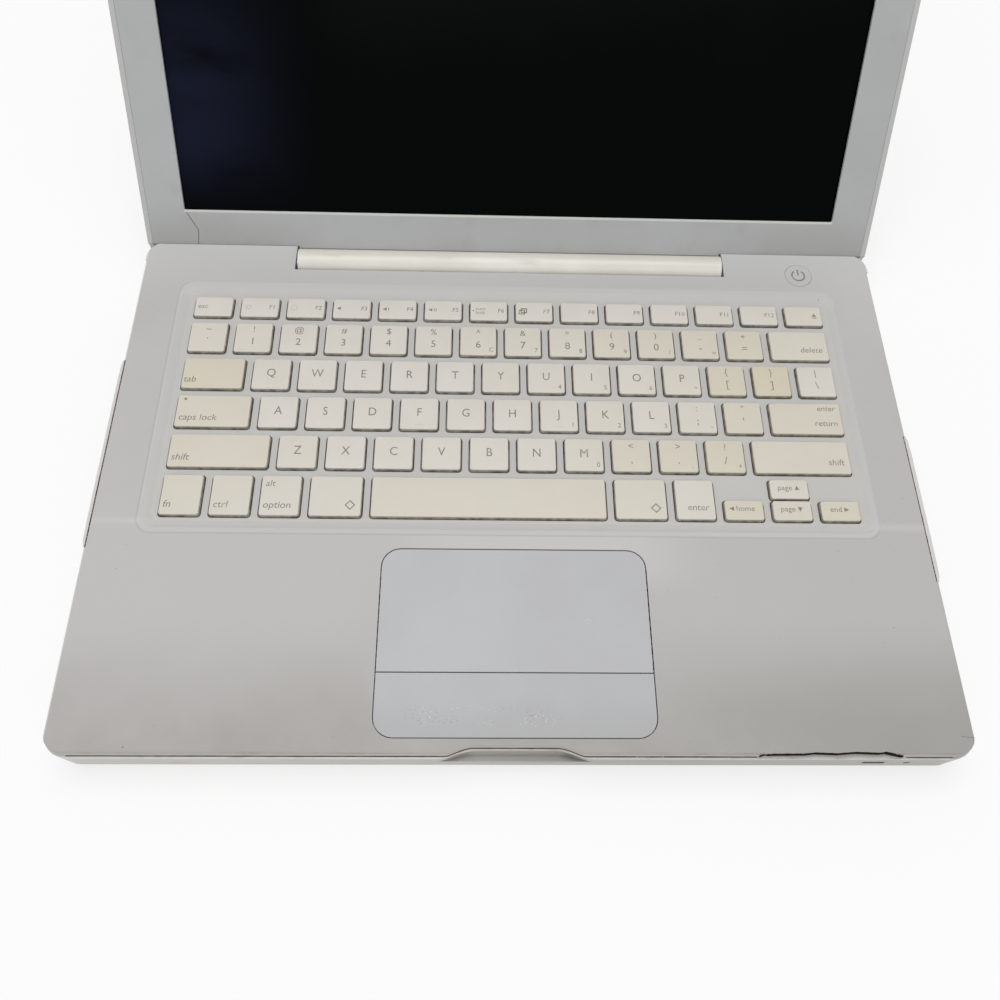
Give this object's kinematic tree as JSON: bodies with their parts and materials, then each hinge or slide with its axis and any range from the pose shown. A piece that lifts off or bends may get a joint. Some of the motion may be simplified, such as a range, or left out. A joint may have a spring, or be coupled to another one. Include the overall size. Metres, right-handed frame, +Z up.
{
  "type": "broken laptop",
  "caption": "Open notebook computer in worn white plastic with yellowed keys, cracked edges and a chipped palm rest; the lid, keys, buttons and fan move.",
  "frame": {"origin": "centre of the base footprint on the surface the laptop stands on", "axes": "+X to the user's right, +Y from the user to the hinge, +Z up"},
  "size_m": [0.325, 0.3507, 0.1888],
  "materials": {
    "white_case": "glossy white plastic, scuffed",
    "deck": "matt white plastic, greyed by wear",
    "key_cream": "matt ivory plastic, yellowed",
    "clutch": "smooth cream plastic",
    "bezel": "matt light grey plastic",
    "trackpad": "fine matt plastic, slightly bluish",
    "screen": "dark glossy display",
    "rubber": "soft grey rubber",
    "steel": "stamped steel",
    "alu": "bare aluminium",
    "copper": "copper heat pipe",
    "board": "green circuit board",
    "black": "black moulded plastic",
    "smoke": "dark tinted plastic",
    "lens": "translucent white plastic"
  },
  "bodies": {
    "base": {"bottom_case": "white_case", "top_case": "deck", "rubber_feet": "rubber", "case_screws": "steel", "battery": "white_case", "logic_board": "board", "heat_sink": "copper", "fan_housing": "black", "hard_drive": "alu", "optical_drive": "steel", "memory_modules": "board", "wireless_card": "board", "speakers": "black", "power_inlet": "steel", "ethernet_jack": "steel", "video_port": "steel", "serial_port": "steel", "usb_ports": "steel", "audio_jacks": "black", "infrared_window": "smoke", "sleep_light": "lens", "power_switch_board": "board", "trackpad_frame": "steel", "trackpad_plate": "trackpad", "keyboard_plate": "alu", "hinge_bracket_left": "steel", "hinge_bracket_right": "steel"},
    "lid": {"hinge_arm_left": "steel", "hinge_arm_right": "steel", "clutch_cover": "clutch", "lid_cover": "white_case", "display_bezel": "bezel", "bezel_bumpers": "bezel", "lcd_panel": "screen", "inverter_board": "board", "camera_module": "smoke"},
    "battery_latch": {"battery_latch": "alu"},
    "fan_rotor": {"fan_rotor": "black"},
    "power_button": {"power_button": "deck"},
    "trackpad_button": {"trackpad_button": "trackpad"},
    "function_keys": {"function_keys": "key_cream"},
    "number_keys": {"number_keys": "key_cream"},
    "key_delete": {"key_delete": "key_cream"},
    "key_tab": {"key_tab": "key_cream"},
    "letter_keys_upper": {"letter_keys_upper": "key_cream"},
    "key_caps_lock": {"key_caps_lock": "key_cream"},
    "letter_keys_home": {"letter_keys_home": "key_cream"},
    "key_return": {"key_return": "key_cream"},
    "key_shift_left": {"key_shift_left": "key_cream"},
    "letter_keys_lower": {"letter_keys_lower": "key_cream"},
    "key_shift_right": {"key_shift_right": "key_cream"},
    "modifier_keys": {"modifier_keys": "key_cream"},
    "key_command_left": {"key_command_left": "key_cream"},
    "key_space": {"key_space": "key_cream"},
    "key_command_right": {"key_command_right": "key_cream"},
    "key_enter": {"key_enter": "key_cream"},
    "key_arrow_left": {"key_arrow_left": "key_cream"},
    "key_arrow_up": {"key_arrow_up": "key_cream"},
    "key_arrow_down": {"key_arrow_down": "key_cream"},
    "key_arrow_right": {"key_arrow_right": "key_cream"}
  },
  "joints": [
    {"name": "lid_hinge", "type": "hinge", "parent": "base", "child": "lid", "pos_m": [0, 0.1026, 0.0165], "axis": [-1, 0, 0], "range_deg": [-126, 4]},
    {"name": "trackpad_press", "type": "slide", "parent": "base", "child": "trackpad_button", "axis": [0, 0, -1], "range_m": [0, 0.0005], "stiffness_N_per_m": 2000},
    {"name": "power_press", "type": "slide", "parent": "base", "child": "power_button", "axis": [0, 0, -1], "range_m": [0, 0.0005], "stiffness_N_per_m": 1500},
    {"name": "battery_latch_turn", "type": "hinge", "parent": "base", "child": "battery_latch", "pos_m": [-0.128, -0.0875, 0.001], "axis": [0, 0, 1], "range_deg": [0, 90]},
    {"name": "fan_spin", "type": "hinge", "parent": "base", "child": "fan_rotor", "pos_m": [0.121, 0.0546, 0.006], "axis": [0, 0, 1], "continuous": true},
    {"name": "function_keys_press", "type": "slide", "parent": "base", "child": "function_keys", "axis": [0, 0, -1], "range_m": [0, 0.002], "stiffness_N_per_m": 300},
    {"name": "number_keys_press", "type": "slide", "parent": "base", "child": "number_keys", "axis": [0, 0, -1], "range_m": [0, 0.002], "stiffness_N_per_m": 300},
    {"name": "key_delete_press", "type": "slide", "parent": "base", "child": "key_delete", "axis": [0, 0, -1], "range_m": [0, 0.002], "stiffness_N_per_m": 300},
    {"name": "key_tab_press", "type": "slide", "parent": "base", "child": "key_tab", "axis": [0, 0, -1], "range_m": [0, 0.002], "stiffness_N_per_m": 300},
    {"name": "letter_keys_upper_press", "type": "slide", "parent": "base", "child": "letter_keys_upper", "axis": [0, 0, -1], "range_m": [0, 0.002], "stiffness_N_per_m": 300},
    {"name": "key_caps_lock_press", "type": "slide", "parent": "base", "child": "key_caps_lock", "axis": [0, 0, -1], "range_m": [0, 0.002], "stiffness_N_per_m": 300},
    {"name": "letter_keys_home_press", "type": "slide", "parent": "base", "child": "letter_keys_home", "axis": [0, 0, -1], "range_m": [0, 0.002], "stiffness_N_per_m": 300},
    {"name": "key_return_press", "type": "slide", "parent": "base", "child": "key_return", "axis": [0, 0, -1], "range_m": [0, 0.002], "stiffness_N_per_m": 300},
    {"name": "key_shift_left_press", "type": "slide", "parent": "base", "child": "key_shift_left", "axis": [0, 0, -1], "range_m": [0, 0.002], "stiffness_N_per_m": 300},
    {"name": "letter_keys_lower_press", "type": "slide", "parent": "base", "child": "letter_keys_lower", "axis": [0, 0, -1], "range_m": [0, 0.002], "stiffness_N_per_m": 300},
    {"name": "key_shift_right_press", "type": "slide", "parent": "base", "child": "key_shift_right", "axis": [0, 0, -1], "range_m": [0, 0.002], "stiffness_N_per_m": 300},
    {"name": "modifier_keys_press", "type": "slide", "parent": "base", "child": "modifier_keys", "axis": [0, 0, -1], "range_m": [0, 0.002], "stiffness_N_per_m": 300},
    {"name": "key_command_left_press", "type": "slide", "parent": "base", "child": "key_command_left", "axis": [0, 0, -1], "range_m": [0, 0.002], "stiffness_N_per_m": 300},
    {"name": "key_space_press", "type": "slide", "parent": "base", "child": "key_space", "axis": [0, 0, -1], "range_m": [0, 0.002], "stiffness_N_per_m": 300},
    {"name": "key_command_right_press", "type": "slide", "parent": "base", "child": "key_command_right", "axis": [0, 0, -1], "range_m": [0, 0.002], "stiffness_N_per_m": 300},
    {"name": "key_enter_press", "type": "slide", "parent": "base", "child": "key_enter", "axis": [0, 0, -1], "range_m": [0, 0.002], "stiffness_N_per_m": 300},
    {"name": "key_arrow_left_press", "type": "slide", "parent": "base", "child": "key_arrow_left", "axis": [0, 0, -1], "range_m": [0, 0.002], "stiffness_N_per_m": 300},
    {"name": "key_arrow_up_press", "type": "slide", "parent": "base", "child": "key_arrow_up", "axis": [0, 0, -1], "range_m": [0, 0.002], "stiffness_N_per_m": 300},
    {"name": "key_arrow_down_press", "type": "slide", "parent": "base", "child": "key_arrow_down", "axis": [0, 0, -1], "range_m": [0, 0.002], "stiffness_N_per_m": 300},
    {"name": "key_arrow_right_press", "type": "slide", "parent": "base", "child": "key_arrow_right", "axis": [0, 0, -1], "range_m": [0, 0.002], "stiffness_N_per_m": 300}
  ]
}
